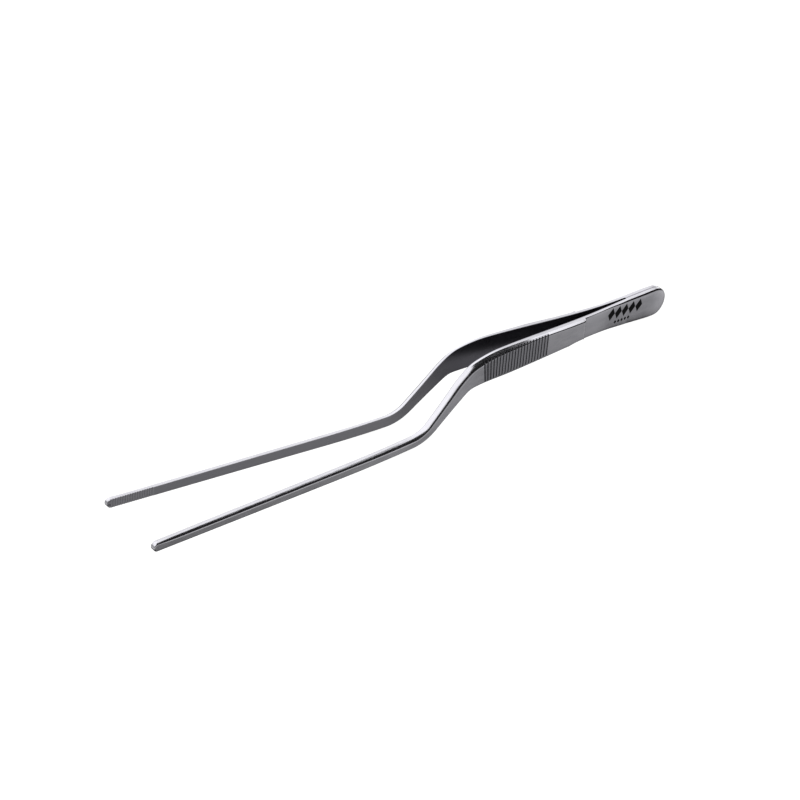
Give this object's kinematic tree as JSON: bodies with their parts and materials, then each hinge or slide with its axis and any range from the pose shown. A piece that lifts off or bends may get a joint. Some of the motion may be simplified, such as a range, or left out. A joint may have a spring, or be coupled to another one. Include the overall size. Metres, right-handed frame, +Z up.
{
  "type": "stamp tongs",
  "caption": "Long cranked spring tongs of stainless steel, with ribbed grips, slender offset shanks and fine-toothed tips.",
  "frame": {"origin": "middle of the tongs' footprint on the table, as they lie on the heel and on both knees", "axes": "+X from the tips to the heel, +Y the way the far arm opens, +Z up from the table"},
  "size_m": [0.3006, 0.0406, 0.0275],
  "materials": {
    "satin_steel": "satin, brushed along the arms"
  },
  "bodies": {
    "heel": {"near_heel": "satin_steel", "far_heel": "satin_steel", "near_spring": "satin_steel", "far_spring": "satin_steel"},
    "near_arm": {"near_arm": "satin_steel"},
    "far_arm": {"far_arm": "satin_steel"}
  },
  "joints": [
    {"name": "near_flex", "type": "hinge", "parent": "heel", "child": "near_arm", "pos_m": [0.11405, -0.00179, 0.0111], "axis": [-0.1329, 0, -0.9911], "range_deg": [0, 3.8], "stiffness_Nm_per_rad": 12, "deforming": ["near_spring"]},
    {"name": "far_flex", "type": "hinge", "parent": "heel", "child": "far_arm", "pos_m": [0.11405, 0.00179, 0.0111], "axis": [0.1329, 0, 0.9911], "range_deg": [0, 3.8], "stiffness_Nm_per_rad": 12, "deforming": ["far_spring"]}
  ],
  "couplings": [
    {"joint": "far_flex", "follows": "near_flex", "ratio": 1}
  ]
}
